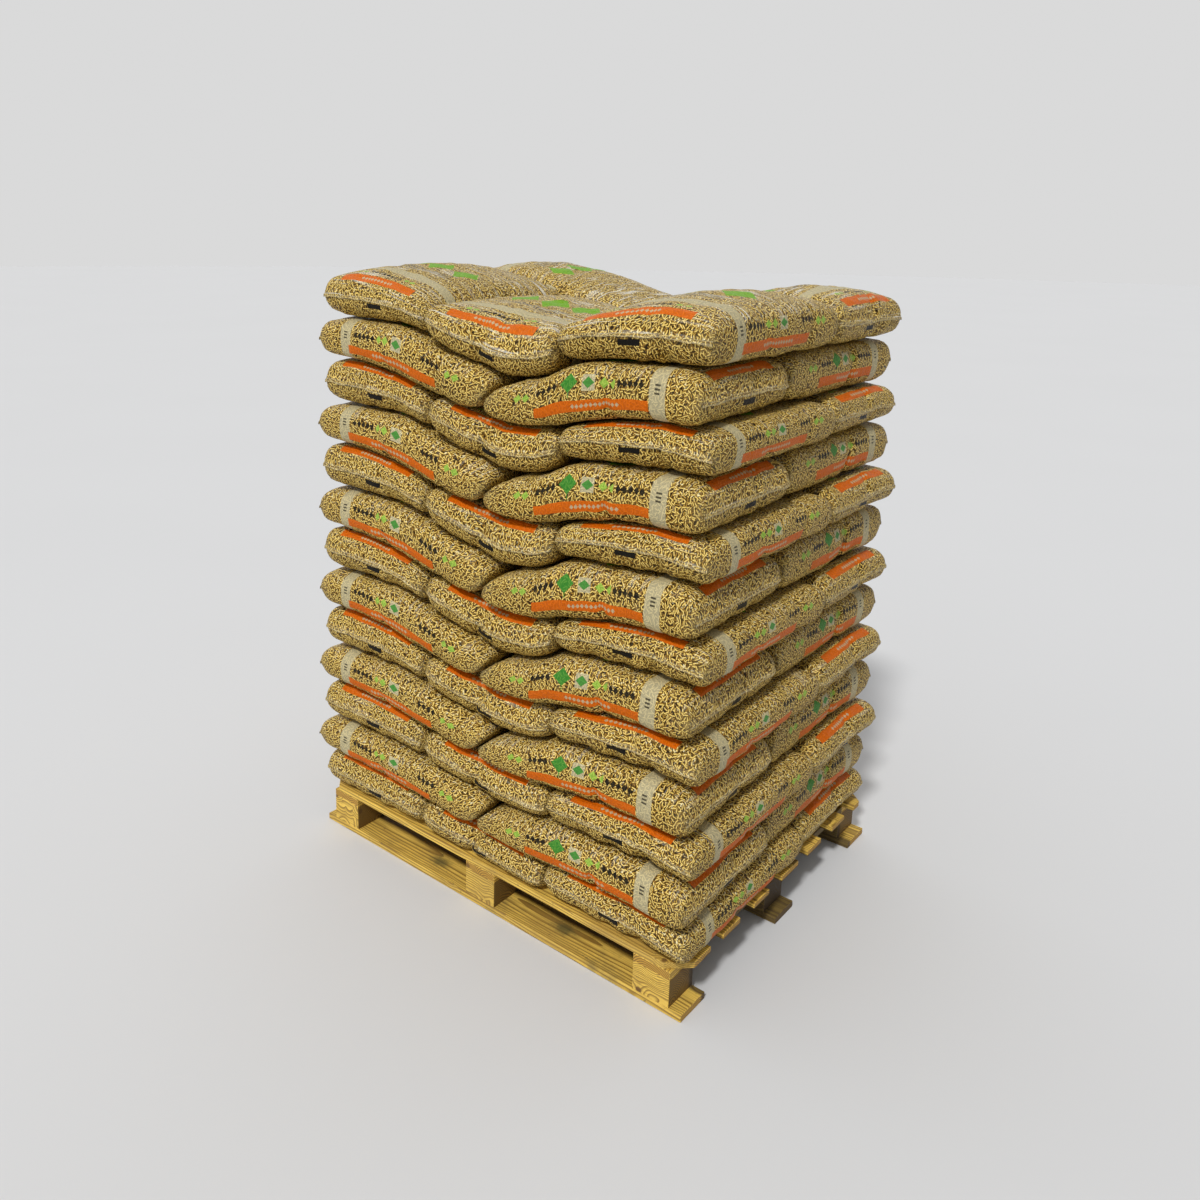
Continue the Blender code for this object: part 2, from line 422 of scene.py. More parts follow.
def pellet_layer(settings):
    """A node group: one layer of pellets, each in its own cell and turned its own way."""
    group = bpy.data.node_groups.new("pellet layer", "ShaderNodeTree")
    group.interface.new_socket("Place", in_out="INPUT", socket_type="NodeSocketVector")
    group.interface.new_socket("Turn", in_out="INPUT", socket_type="NodeSocketFloat")
    group.interface.new_socket("Height", in_out="OUTPUT", socket_type="NodeSocketFloat")
    group.interface.new_socket("Tone", in_out="OUTPUT", socket_type="NodeSocketFloat")
    nodes = Nodes(group)
    given = nodes.add("NodeGroupInput").outputs
    turned = nodes.turn(given["Place"], given["Turn"])
    place = nodes.vector("SCALE", turned, scale=1 / settings.pellet_cell)
    inputs = {"Vector": place, "Scale": 1.0}
    cells = nodes.add("ShaderNodeTexVoronoi", inputs, voronoi_dimensions="2D", feature="F1")
    chance = nodes.add("ShaderNodeSeparateColor", {"Color": cells.outputs["Color"]}).outputs
    from_middle = nodes.vector("SUBTRACT", place, cells.outputs["Position"])
    in_radii = nodes.vector("SCALE", from_middle, scale=settings.pellet_cell / settings.pellet_radius)
    along, across, _ = nodes.parts(nodes.turn(in_radii, nodes.times(chance["Red"], 2 * math.pi)))
    half = nodes.line(chance["Green"], 1.3, 1.5)
    past_end = nodes.math("MAXIMUM", nodes.minus(nodes.size(along), half), 0.0)
    squared = nodes.line(across, across, nodes.times(past_end, past_end))
    height = nodes.math("SQRT", nodes.math("MAXIMUM", nodes.minus(1.0, squared), 0.0))
    nodes.add("NodeGroupOutput", {"Height": height, "Tone": chance["Blue"]})
    return group


def pellets(nodes, place, settings):
    """Layers of pellets over each other. Returns their height, their painted shade (darker at each pellet's
    sides and on the deeper layers) and their tone.
    """
    group = pellet_layer(settings)
    height, shade, tone = 0.0, 0.0, 0.3
    for shift, turn, base, light in PELLET_LAYERS:
        inputs = {"Place": nodes.vector("ADD", place, (shift, shift * 0.7, 0.0)), "Turn": turn}
        layer = nodes.add("ShaderNodeGroup", inputs, node_tree=group).outputs
        there = nodes.math("GREATER_THAN", layer["Height"], 0.02)
        height = nodes.blend(there, height, nodes.math("ADD", layer["Height"], base))
        # Painted shade: each pellet is bright along its ridge and dark at its sides
        ridge = nodes.math("POWER", layer["Height"], 2.7)
        shade = nodes.blend(there, shade, nodes.line(ridge, 0.96 * light, 0.04 * light))
        tone = nodes.blend(there, tone, layer["Tone"])
    return height, shade, tone


def lozenges(nodes, along, across, start, end, middle, half, count):
    """A row of plain lozenges."""
    share = nodes.math("FRACT", nodes.math("DIVIDE", nodes.minus(along, start), (end - start) / count))
    first = nodes.size(nodes.line(share, 2.0, -1.0))
    second = nodes.math("DIVIDE", nodes.size(nodes.minus(across, middle)), half)
    shape = nodes.math("LESS_THAN", nodes.math("ADD", first, second), 0.92)
    return nodes.times(shape, nodes.inside(along, start, end))


def rules(nodes, along, across, start, end, middle, half, count):
    """Plain parallel lines."""
    share = nodes.math("FRACT", nodes.math("DIVIDE", nodes.minus(across, middle - half), 2 * half / count))
    limits = nodes.inside(along, start, end), nodes.inside(across, middle - half, middle + half)
    return nodes.times(nodes.inside(share, 0.25, 0.75), *limits)


def film_folds(nodes, place, number, looseness, upward):
    """Ribs round the sack, crumples where the film is loose, and its shine from above, which is painted.

    Returns how milky the film is, with painted sheen on faces lit from above, its painted white streaks of
    reflection, its painted glints and the height of its folds.
    """
    ribs = nodes.noise(place, (150.0, 8.0, 1.0), 2.0, 0.55, "2D")
    rib_area = nodes.ramp(nodes.noise(place, 7.0, 1.0, 0.5, "2D"), 0.42, 0.62)
    creases = nodes.ridges(nodes.noise(place, (42.0, 60.0, 1.0), 3.0, 0.6, "2D"), 9.0)
    creases = nodes.times(creases, nodes.line(looseness, 0.9, 0.1))
    knots = nodes.ridges(nodes.noise(place, (95.0, 120.0, 1.0), 2.0, 0.6, "2D"), 5.0)
    knots = nodes.times(knots, nodes.math("POWER", looseness, 2.0))
    top_sack = nodes.math("GREATER_THAN", number, 5 * (LAYERS - 1) + 0.5)
    # Upward faces, most of all on the top sacks, where sheen is painted
    lit = nodes.times(nodes.ramp(upward, 0.25, 0.75), nodes.line(top_sack, 0.75, 0.25))
    # Milky where the film is loose, creased or knotted, plus painted sheen on the upward faces
    haze_and_sheen = nodes.line(looseness, 0.06, nodes.times(creases, 0.40))
    haze_and_sheen = nodes.line(lit, 0.10, nodes.line(knots, 0.80, haze_and_sheen), clamp=True)
    # Painted reflections: white streaks along the ribs, strongest on the upward faces
    streaks = nodes.times(nodes.ramp(ribs, 0.54, 0.65), nodes.line(rib_area, 0.65, 0.35))
    streaks = nodes.times(streaks, nodes.line(lit, 0.72, 0.03))
    # Painted glints, more on the upward faces
    glints = nodes.ramp(nodes.noise(place, 120.0, 2.0, 0.6, "2D"), 0.62, 0.70)
    glints = nodes.times(glints, nodes.ramp(upward, -0.2, 0.7, 0.0, 0.80))
    folds = nodes.line(creases, 0.9, nodes.times(ribs, nodes.line(rib_area, 0.8, 0.2)))
    return haze_and_sheen, streaks, glints, nodes.line(knots, 0.9, folds)


def film_print(nodes, along, round_it, below_fold, end_place, settings):
    """Plain bands, lozenges and lines. Returns the mask, ink and cover of each, and where most print is."""

    def on_sides(*rows):
        """Lozenges along the sack's long sides. Each row: start, end, middle, half height, count."""
        return [lozenges(nodes, along, below_fold, *row) for row in rows]

    def across_it(*rows):
        """Lozenges across the sack, in rows of the same values."""
        return [lozenges(nodes, round_it, along, *row) for row in rows]

    left = nodes.math("LESS_THAN", round_it, 0.0)
    right = nodes.minus(1.0, left)
    band_height = nodes.inside(below_fold, 0.006, 0.032)
    bands = nodes.either(
        nodes.times(left, nodes.inside(along, 0.150, 0.460), band_height),
        nodes.times(right, nodes.inside(along, 0.160, 0.475), band_height),
        nodes.times(nodes.inside(along, 0.041, 0.066), nodes.inside(round_it, -0.137, 0.137)),
    )
    band_dashes = nodes.either(
        *on_sides((0.235, 0.375, 0.019, 0.0060, 12)), *across_it((-0.060, 0.060, 0.0535, 0.0055, 10))
    )
    ring = nodes.inside(along, 0.120, 0.158)
    ring_lines = rules(nodes, along, below_fold, 0.133, 0.145, -0.014, 0.014, 3)
    light_shapes = nodes.either(
        *on_sides((0.250, 0.302, -0.019, 0.013, 2), (0.490, 0.542, -0.012, 0.013, 2)),
        *across_it((-0.112, -0.068, 0.090, 0.008, 2), (0.068, 0.112, 0.090, 0.008, 2)),
    )
    dark_shapes = nodes.either(
        *on_sides((0.170, 0.244, -0.018, 0.011, 5), (0.414, 0.473, -0.018, 0.011, 4)),
        *across_it((-0.060, 0.060, 0.090, 0.008, 8)),
    )
    badge = nodes.times(nodes.inside(along, 0.312, 0.346), nodes.inside(below_fold, -0.036, -0.002))
    green_shapes = nodes.either(
        nodes.times(right, *on_sides((0.356, 0.408, -0.021, 0.024, 1))),
        nodes.times(badge, *on_sides((0.312, 0.346, -0.019, 0.013, 1))),
    )
    top_shapes = nodes.either(*across_it((-0.145, 0.145, 0.300, 0.058, 3)))
    grey_lines = rules(nodes, round_it, along, -0.11, 0.11, 0.215, 0.018, 3)
    end_x, end_y, _ = nodes.parts(end_place)
    mark = nodes.times(nodes.inside(end_x, -0.025, 0.025), nodes.inside(end_y, -0.0250, -0.0130))
    inks = (
        (ring, settings.cream, 0.82),
        (badge, settings.cream, 0.85),
        (ring_lines, settings.black, 0.85),
        (bands, settings.orange, 0.97),
        (band_dashes, settings.cream, 0.80),
        (light_shapes, settings.light_green, 0.88),
        (green_shapes, settings.green, 0.93),
        (top_shapes, (0.17, 0.45, 0.005), 0.92),
        (dark_shapes, settings.black, 0.96),
        (grey_lines, (0.16, 0.16, 0.15), 0.70),
        (mark, settings.black, 1.0),
    )
    return inks, nodes.either(ring, bands, green_shapes, top_shapes, light_shapes, dark_shapes, mark)


def sack_film(settings):
    """Clear glossy film over wood pellets, with the plain print on it, and painted shade, highlights and
    reflections.
    """
    material, nodes, shader = new_material("sack_film")
    film = nodes.add("ShaderNodeUVMap", uv_map="film").outputs["UV"]
    straight_on = nodes.add("ShaderNodeUVMap", uv_map="pellets").outputs["UV"]
    number = nodes.add("ShaderNodeAttribute", attribute_name="sack_number").outputs["Fac"]
    looseness = nodes.add("ShaderNodeAttribute", attribute_name="looseness").outputs["Fac"]
    along, round_it, _ = nodes.parts(film)
    below_fold = nodes.minus(nodes.size(round_it), settings.flat_width / 2)
    shift = nodes.join(nodes.times(number, 1.37), nodes.times(number, 0.83))
    place = nodes.vector("ADD", film, shift)

    # Pellets
    height, shade, tone = pellets(nodes, nodes.vector("ADD", straight_on, shift), settings)
    patches = nodes.ramp(nodes.noise(place, 9.0, 2.0, 0.5, "2D"), 0.35, 0.65, 0.0, 0.25)
    wood = nodes.mix(tone, (0.50, 0.24, 0.024), (1.0, 0.60, 0.095))
    wood = nodes.mix(patches, wood, (0.52, 0.31, 0.050))
    # Painted highlight along the pellets' ridges, then painted shade on their sides and in the gaps between
    # them
    wood = nodes.mix(nodes.ramp(shade, 0.55, 0.95, 0.0, 0.95), wood, (1.0, 0.76, 0.22))
    colour = nodes.mix(shade, (0.014, 0.006, 0.001), wood)

    # Film, its welded ends and the print
    haze_and_sheen, streaks, glints, folds = film_folds(nodes, place, number, looseness, nodes.facing()["Z"])
    past_end = nodes.math("GREATER_THAN", along, settings.flat_length)
    fin = nodes.either(nodes.math("LESS_THAN", along, 0.0), past_end)
    fin_edge = nodes.math("LESS_THAN", along, -settings.fin * 0.85)
    weld = nodes.either(nodes.inside(along, -0.0016, 0.0012), fin_edge)
    # Milky film, with painted sheen on the upward faces
    colour = nodes.mix(haze_and_sheen, colour, (0.50, 0.38, 0.16))
    colour = nodes.mix(nodes.times(fin, 0.16), colour, (0.42, 0.35, 0.20))
    colour = nodes.mix(nodes.times(weld, 0.35), colour, (0.70, 0.60, 0.36))
    inks, printed = film_print(nodes, along, round_it, below_fold, straight_on, settings)
    for mask, ink, cover in inks:
        colour = nodes.mix(nodes.times(mask, cover), colour, ink)
    # Painted shade: the print darkens over the gaps between pellets
    over_gap = nodes.times(nodes.minus(1.0, shade), nodes.times(printed, 0.20))
    colour = nodes.mix(over_gap, colour, (0.02, 0.01, 0.004))
    # Painted white streaks of reflection and painted glints, kept off the print
    bare = nodes.line(printed, -0.95, 1.0)
    colour = nodes.mix(nodes.times(streaks, bare), colour, (0.84, 0.82, 0.74))
    colour = nodes.mix(nodes.times(glints, bare), colour, (1.0, 0.90, 0.54))

    # Relief: the pellets press through the film, and the film has folds of its own
    fold_relief = nodes.bump(folds, 0.75, 0.0035)
    relief = nodes.bump(height, nodes.blend(printed, 0.80, 0.35), settings.pellet_radius, fold_relief)
    nodes.fill(shader, {"Base Color": colour, "Roughness": nodes.blend(haze_and_sheen, 0.42, 0.34)})
    nodes.fill(shader, {"Normal": relief, "Coat Normal": relief})
    nodes.fill(shader, {"Specular IOR Level": 0.08, "Coat Weight": 0.05, "Coat Roughness": 0.14})
    return material


def deselect():
    """Nothing stays selected."""
    bpy.ops.object.select_all(action="DESELECT")


def slack_point(x, y, settings, free):
    """A point of the slack sack's upper film: flat on top, round over its sides, ends and corners."""
    radius = settings.slack_height / 2
    wrap = radius * math.pi / 2
    core_x, core_y = settings.flat_length / 2 - wrap, settings.flat_width / 2 - wrap
    past_x, past_y = max(0.0, (abs(x) - core_x) / wrap), max(0.0, (abs(y) - core_y) / wrap)
    share = max(past_x, past_y)
    if share == 0:
        return Vector((x, y, radius))
    turn = past_y / past_x * math.pi / 4 if past_x >= past_y else math.pi / 2 - past_x / past_y * math.pi / 4
    out = radius * math.sin(share * math.pi / 2)
    if free:
        out += settings.ear * (past_x * past_y) ** 4
    out_x = min(abs(x), core_x) + out * math.cos(turn)
    out_y = min(abs(y), core_y) + out * math.sin(turn)
    height = radius * math.cos(share * math.pi / 2)
    return Vector((math.copysign(out_x, x), math.copysign(out_y, y), height))


def map_film(mesh, settings):
    """The film map of the flat sack: along the tube and round it."""
    while mesh.uv_layers:
        mesh.uv_layers.remove(mesh.uv_layers[0])
    film = mesh.uv_layers.new(name="film")
    for face in mesh.polygons:
        for loop in face.loop_indices:
            place = mesh.vertices[mesh.loops[loop].vertex_index].co
            round_it = place.y
            if place.z < 0:
                side = 1 if face.center.y > 0 else -1
                round_it = side * (settings.flat_width - abs(place.y))
            film.data[loop].uv = (place.x + settings.flat_length / 2, round_it)


def slack_sack(name, settings, seed):
    """Two film sheets, closed all round and half filled."""
    half_x, half_y = settings.flat_length / 2, settings.flat_width / 2
    deselect()
    place = (0, 0, SHEET_GAP / 2)
    bpy.ops.mesh.primitive_grid_add(x_subdivisions=60, y_subdivisions=44, size=1, location=place)
    sack = bpy.context.object
    sack.name = name
    sack.scale = (settings.flat_length, settings.flat_width, 1)
    bpy.ops.object.transform_apply(location=True, rotation=False, scale=True)
    bpy.ops.object.mode_set(mode="EDIT")
    bpy.ops.mesh.select_all(action="SELECT")
    bpy.ops.mesh.extrude_region_move(TRANSFORM_OT_translate={"value": (0, 0, -SHEET_GAP)})
    bpy.ops.mesh.select_all(action="SELECT")
    bpy.ops.mesh.normals_make_consistent(inside=False)
    bpy.ops.object.mode_set(mode="OBJECT")
    mesh = sack.data
    map_film(mesh, settings)
    welds = sack.vertex_groups.new(name="welds")
    looseness = []
    values = random.Random(seed)
    phase = [values.uniform(0, 2 * math.pi) for _ in range(4)]
    for vert in mesh.vertices:
        x, y, z = vert.co
        to_weld = half_x - abs(x)
        to_corner = math.hypot(to_weld, half_y - abs(y))
        # Loose at the welds, more so at the corners, and a little on the underside near the ends
        loose = 0.20 * smooth(1 - to_weld / 0.012) + 0.75 * smooth(1 - to_corner / 0.095)
        if z < 0:
            loose += 0.12 * smooth(1 - to_weld / 0.085)
        looseness.append(min(1.0, loose))
        if to_weld < 1e-5:
            welds.add([vert.index], 1.0, "REPLACE")
        pressed = BLANKS[name][0 if y < 0 else 1]
        point = slack_point(x, y, settings, free=not pressed)
        wave = math.sin(60 * x + phase[0]) * math.sin(75 * y + phase[1])
        wave += math.sin(130 * x + phase[2]) * math.sin(110 * y + phase[3])
        point.z = math.copysign(point.z + SHEET_GAP / 2, z) + SLACK_WAVE * wave
        vert.co = point
    mesh.update()
    mesh.attributes.new("looseness", "FLOAT", "POINT").data.foreach_set("value", looseness)
    return sack


def map_pellets(mesh):
    """A second map for the pellets, seen straight on from each of the sack's six sides."""
    pellets_map = mesh.uv_layers.new(name="pellets")
    for face in mesh.polygons:
        normal = face.normal
        axis = max(range(3), key=lambda number: abs(normal[number]))
        across = [number for number in range(3) if number != axis]
        shift = 0.7 * axis + (0.35 if normal[axis] > 0 else 0.0)
        for loop in face.loop_indices:
            place = mesh.vertices[mesh.loops[loop].vertex_index].co
            pellets_map.data[loop].uv = (place[across[0]] + shift, place[across[1]] + shift)


def ease_film(mesh):
    """Spreads the film evenly, so that the print runs straight, and takes out sharp wrinkles."""
    count = len(mesh.vertices)
    edges = np.empty(len(mesh.edges) * 2, dtype=int)
    mesh.edges.foreach_get("vertices", edges)
    first, second = edges.reshape(-1, 2).T
    neighbours = np.bincount(edges, minlength=count)[:, None]
    places = np.empty(count * 3)
    normals = np.empty(count * 3)
    mesh.vertices.foreach_get("co", places)
    places = places.reshape(-1, 3)

    def to_mean():
        """From each point to the mean of its neighbours."""
        total = np.zeros_like(places)
        np.add.at(total, first, places[second])
        np.add.at(total, second, places[first])
        return total / neighbours - places

    for _ in range(EASING_STEPS):
        mesh.vertices.foreach_get("normal", normals)
        normal = normals.reshape(-1, 3)
        step = to_mean() * 0.5
        places = places + step - normal * (step * normal).sum(axis=1, keepdims=True)
        mesh.vertices.foreach_set("co", places.ravel())
        mesh.update()
    for _ in range(WRINKLE_STEPS):
        places = places + to_mean() * 0.50
        places = places - to_mean() * 0.53
    mesh.vertices.foreach_set("co", places.ravel())
    mesh.update()


def press_block(low, high, slide=None):
    """A block that the film can't pass. It may slide in from the side while the sack fills."""
    deselect()
    bpy.ops.mesh.primitive_cube_add(size=1)
    block = bpy.context.object
    block.scale = Vector(high) - Vector(low)
    bpy.ops.object.transform_apply(location=False, rotation=False, scale=True)
    end = (Vector(high) + Vector(low)) / 2
    block.location = end
    block.modifiers.new("press", "COLLISION")
    block.collision.thickness_outer = 0.001
    block.collision.cloth_friction = 0
    if slide:
        block.location = end + Vector(slide)
        block.keyframe_insert("location", frame=1)
        block.location = end
        block.keyframe_insert("location", frame=SLIDE_FRAMES)
    return block


def fill_by_simulation(sacks, settings):
    """Blows the sacks up between a floor plate, a top plate and the walls of their neighbours."""
    scene = bpy.context.scene
    half_height = PITCH / 2
    reach = 0.6
    last = APART * (len(sacks) - 1) + reach
    presses = [
        press_block((-reach, -reach, half_height), (reach, last, half_height + PLATE)),
        press_block((-reach, -reach, -half_height - PLATE), (reach, last, -half_height)),
    ]
    for number, sack in enumerate(sacks):
        middle = number * APART
        for vert in sack.data.vertices:
            vert.co.y += middle
        for pressed, side in zip(BLANKS[sack.name], (-1, 1)):
            if pressed:
                inner, outer = SACK_WIDTH / 2, SACK_WIDTH / 2 + PLATE
                near, far = sorted((middle + side * inner, middle + side * outer))
                wall = press_block((-0.5, near, -0.05), (0.5, far, 0.05), slide=(0, side * SLIDE, 0))
                presses.append(wall)
        cloth = sack.modifiers.new("film", "CLOTH")
        for name, value in FILM_CLOTH.items():
            setattr(cloth.settings, name, value)
        cloth.settings.uniform_pressure_force = settings.pressure
        cloth.settings.effector_weights.gravity = 0
        cloth.collision_settings.distance_min = 0.001
        cloth.collision_settings.friction = 0
        cloth.collision_settings.collision_quality = 4
        cloth.point_cache.frame_end = settings.frames
    for step in range(1, settings.frames + 1):
        scene.frame_set(step)
    for number, sack in enumerate(sacks):
        deselect()
        bpy.context.view_layer.objects.active = sack
        sack.select_set(True)
        bpy.ops.object.modifier_apply(modifier="film")
        for vert in sack.data.vertices:
            vert.co.y -= number * APART
    for block in presses:
        bpy.data.objects.remove(block)
    scene.frame_set(1)


def close_weld(mesh, weld):
    """Brings the two sheets together again along a weld that the filling has pulled open."""
    for edge in mesh.edges:
        if all(index in weld for index in edge.vertices):
            first, second = (mesh.vertices[index] for index in edge.vertices)
            across = first.co - second.co
            if abs(across.y) < abs(across.z):
                middle = (first.co + second.co) / 2
                half = across.normalized() * SHEET_GAP * WELD_SHARE
                first.co, second.co = middle + half, middle - half


def add_fins(sack, settings):
    """Loose film past both welds, folded down onto the end."""
    mesh = sack.data
    group = sack.vertex_groups["welds"].index
    steps = ((0.0016, 0.0), (0.0022, settings.fin * 0.5), (0.0006, settings.fin * 0.5))
    depth = {}
    deselect()
    bpy.context.view_layer.objects.active = sack
    sack.select_set(True)
    for end in (-1, 1):
        at_end = [vert for vert in mesh.vertices if vert.co.x * end > 0 and vert.index not in depth]
        weld = {vert.index for vert in at_end if any(item.group == group for item in vert.groups)}
        close_weld(mesh, weld)
        for vert in mesh.vertices:
            vert.select = vert.index in weld
        for edge in mesh.edges:
            edge.select = all(index in weld for index in edge.vertices)
        for face in mesh.polygons:
            face.select = all(index in weld for index in face.vertices)
        reached = 0.0
        for out, down in steps:
            before = len(mesh.vertices)
            bpy.ops.object.mode_set(mode="EDIT")
            bpy.ops.mesh.select_mode(type="FACE")
            bpy.ops.mesh.extrude_region_move(TRANSFORM_OT_translate={"value": (end * out, 0, -down)})
            bpy.ops.object.mode_set(mode="OBJECT")
            reached += math.hypot(out, down)
            for index in range(before, len(mesh.vertices)):
                depth[index] = end * reached
        for vert in mesh.vertices:
            if vert.select:
                vert.co.x += end * 0.0018 * noise.noise(Vector((vert.co.y * 22, end * 4.0, 1.7)))
                vert.co.z += 0.003 * noise.noise(Vector((vert.co.y * 30, end * 7.0, 5.2)))
    film, pellets_map = mesh.uv_layers["film"], mesh.uv_layers["pellets"]
    looseness = mesh.attributes["looseness"]
    for index in depth:
        looseness.data[index].value = 0.20
    for loop in mesh.loops:
        if loop.vertex_index in depth:
            past = depth[loop.vertex_index]
            y = mesh.vertices[loop.vertex_index].co.y
            film.data[loop.index].uv = (settings.flat_length + past if past > 0 else past, y)
            pellets_map.data[loop.index].uv = (y, past)


class PALLET_OT_fill_blanks(bpy.types.Operator):
    """Fill the three sack blanks: open on the left, open on the right, and between two neighbours"""

    bl_idname = "pallet_load.fill_blanks"
    bl_label = "Fill Sack Blanks"

    def execute(self, context):
        settings = context.scene.pallet_sacks
        sacks = [slack_sack(name, settings, seed) for seed, name in enumerate(BLANKS, 11)]
        fill_by_simulation(sacks, settings)
        for sack in sacks:
            ease_film(sack.data)
            map_pellets(sack.data)
            add_fins(sack, settings)
            sack.data.name = f"blank_{sack.name}"
            sack.data.use_fake_user = True
            bpy.data.objects.remove(sack)
        return {"FINISHED"}


def squeeze(value, start, limit):
    """A length that slows down past start and never reaches limit."""
    if value <= start:
        return value
    room = limit - start
    return start + room * math.tanh((value - start) / room)


class StackedSack:
    """Carries the points of a blank to one place in the stack."""

    def __init__(self, layer, place, seed):
        self.layer = layer
        self.middle, heading, blank, self.lie, self.stretch = place
        self.pressed = BLANKS[blank]
        self.turn = Matrix.Rotation(heading, 2)
        self.lean = END_LEAN * round(math.cos(heading)) if self.lie == "lengthwise" else 0.0
        self.seam = SEAM_SHIFT.get(blank, (0.0, 0.0)) if self.lie == "crosswise" else (0.0, 0.0)
        self.wider = 1 + SPREAD * (1 - 2 * (layer - 1) / (LAYERS - 1))
        nudge_x, nudge_y, self.shorter = NUDGES.get(layer, (0.0, 0.0, 1.0))
        self.laid_at = STACK_MIDDLE + Vector((nudge_x, nudge_y))
        values = random.Random(seed)
        self.shift = Vector([values.uniform(-50, 50) for _ in range(3)])
        self.push = values.uniform(-0.006, 0.004)

    def plan(self, x, y, z):
        """The blank's plan place, kept between its neighbours."""
        half_width = SACK_WIDTH / 2
        side = 0 if y < 0 else 1
        if self.pressed[side]:
            y = max(-half_width + CLEARANCE, min(half_width - CLEARANCE, y))
        else:
            y = math.copysign(squeeze(abs(y), half_width - 0.016, half_width + 0.010), y)
        half_length = SACK_LENGTH / 2
        if x < 0:
            x = -squeeze(-x, half_length - 0.018, half_length + (0.010 if self.lie == "crosswise" else 0.0))
            x += self.push * smooth(-x / half_length)
        else:
            x = squeeze(x, half_length - 0.020, half_length - CLEARANCE)
            x += self.lean * z * smooth((x - 0.12) / 0.15)
        return x, y

    def carry(self, point, lumps):
        """The place in the stack of one point of the blank."""
        x, y = self.plan(point.x, point.y, point.z)
        place = Vector((x, y, point.z))
        bump = noise.noise_vector(place / WIDE_LUMPS + self.shift)
        bump += noise.noise_vector(place / FINE_LUMPS + self.shift) * 0.4
        at_wall = self.pressed[0 if y < 0 else 1] and abs(y) > SACK_WIDTH / 2 - 0.004
        if not at_wall:
            x += lumps * bump.x
            y += lumps * bump.y
        limit = PITCH / 2 - CLEARANCE / 2
        z = max(-limit, min(limit, point.z + lumps * bump.z))
        across_share = y / SACK_WIDTH + 0.5
        seam = self.seam[0] * (1 - across_share) + self.seam[1] * across_share
        z += seam * (1 - (z / limit) ** 2)
        share = z / PITCH + 0.5
        if self.layer == LAYERS and share > 0.5:
            bell = max(0.0, 1 - (x / CROWN[0]) ** 2) * max(0.0, 1 - (y / CROWN[1]) ** 2)
            share = 0.5 + (share - 0.5) * (0.96 + CROWN_RISE * bell)
        turned = self.turn @ (Vector((x, y)) * self.stretch)
        across = (self.middle + turned) * self.wider
        across = self.laid_at + Vector((across.x * self.shorter, across.y))
        low = level(self.layer - 1) + settle(self.layer - 1, across.x)
        high = level(self.layer) + settle(self.layer, across.x)
        return Vector((across.x, across.y, DECK_TOP + GAP / 2 + low + share * (high - low)))


class PALLET_OT_stack_sacks(bpy.types.Operator):
    """Copy the blanks into the thirteen layers and settle each sack on the one below"""

    bl_idname = "pallet_load.stack_sacks"
    bl_label = "Stack Sacks"

    def execute(self, context):
        settings = context.scene.pallet_sacks
        film = sack_film(settings)
        number = 0
        for layer in range(1, LAYERS + 1):
            for column, place in enumerate(places(layer), 1):
                number += 1
                blank = bpy.data.meshes.get(f"blank_{place[2]}")
                if blank is None:
                    raise RuntimeError("the sack blanks aren't filled yet")
                mesh = blank.copy()
                mesh.use_fake_user = False
                mesh.name = f"sack_{layer:02d}_{column}"
                stacked = StackedSack(layer, place, 100 + number)
                for vert in mesh.vertices:
                    vert.co = stacked.carry(vert.co, settings.lumps)
                numbers = mesh.attributes.new("sack_number", "FLOAT", "POINT")
                numbers.data.foreach_set("value", [float(number)] * len(mesh.vertices))
                mesh.polygons.foreach_set("use_smooth", [True] * len(mesh.polygons))
                mesh.materials.clear()
                mesh.materials.append(film)
                mesh.update()
                sack = bpy.data.objects.new(mesh.name, mesh)
                context.scene.collection.objects.link(sack)
                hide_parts(f"sack_layer_{layer:02d}")
                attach(sack, "root")
        for name in BLANKS:
            bpy.data.meshes.remove(bpy.data.meshes[f"blank_{name}"])
        return {"FINISHED"}


def toned(colour, tone):
    """A colour made darker or lighter."""
    return tuple(value * tone for value in colour)


def year_rings(nodes, laid, from_heart, knot_cells, rings):
    """Year rings round the tree's heart, which knots push aside. Returns the dark lines and the knots."""
    in_cells = nodes.vector("MULTIPLY", laid, knot_cells)
    inputs = {"Vector": in_cells, "Scale": 1.0}
    cells = nodes.add("ShaderNodeTexVoronoi", inputs, voronoi_dimensions="3D", feature="F1")
    from_knot = nodes.vector("SUBTRACT", in_cells, cells.outputs["Position"])
    from_knot = nodes.vector("LENGTH", nodes.vector("DIVIDE", from_knot, knot_cells))
    warp = nodes.noise(laid, (1.6, 7.0, 7.0))
    radius = nodes.line(warp, 0.030, nodes.vector("LENGTH", from_heart))
    radius = nodes.math("ADD", radius, nodes.ramp(from_knot, 0.0, 0.035, 0.012, 0.0))
    year = nodes.math("FRACT", nodes.times(radius, rings))
    return nodes.ramp(year, 0.35, 0.95), nodes.ramp(from_knot, 0.006, 0.010, 1.0, 0.0)


def add_dirt(nodes, colour, laid, spots):
    """Grey-green stains and specks, and the rounder spots of single boards."""
    stained = nodes.noise(nodes.vector("ADD", laid, (7.3, 1.9, 4.4)), 7.0, 4.0, 0.6)
    specks = nodes.ramp(nodes.noise(laid, 95.0, 2.0, 0.6), 0.66, 0.74, 0.0, 0.60)
    dirt = nodes.either(nodes.ramp(stained, 0.58, 0.76, 0.0, 0.50), specks)
    colour = nodes.mix(dirt, colour, (0.10, 0.08, 0.035))
    ragged = nodes.times(nodes.noise(laid, 60.0, 3.0, 0.6), 0.024)
    for spot in spots:
        away = nodes.vector("MULTIPLY", nodes.vector("SUBTRACT", laid, spot), (0.6, 1.0, 0.0))
        distance = nodes.math("ADD", nodes.vector("LENGTH", away), ragged)
        colour = nodes.mix(nodes.ramp(distance, 0.014, 0.044, 0.75, 0.0), colour, (0.055, 0.060, 0.020))
    return colour


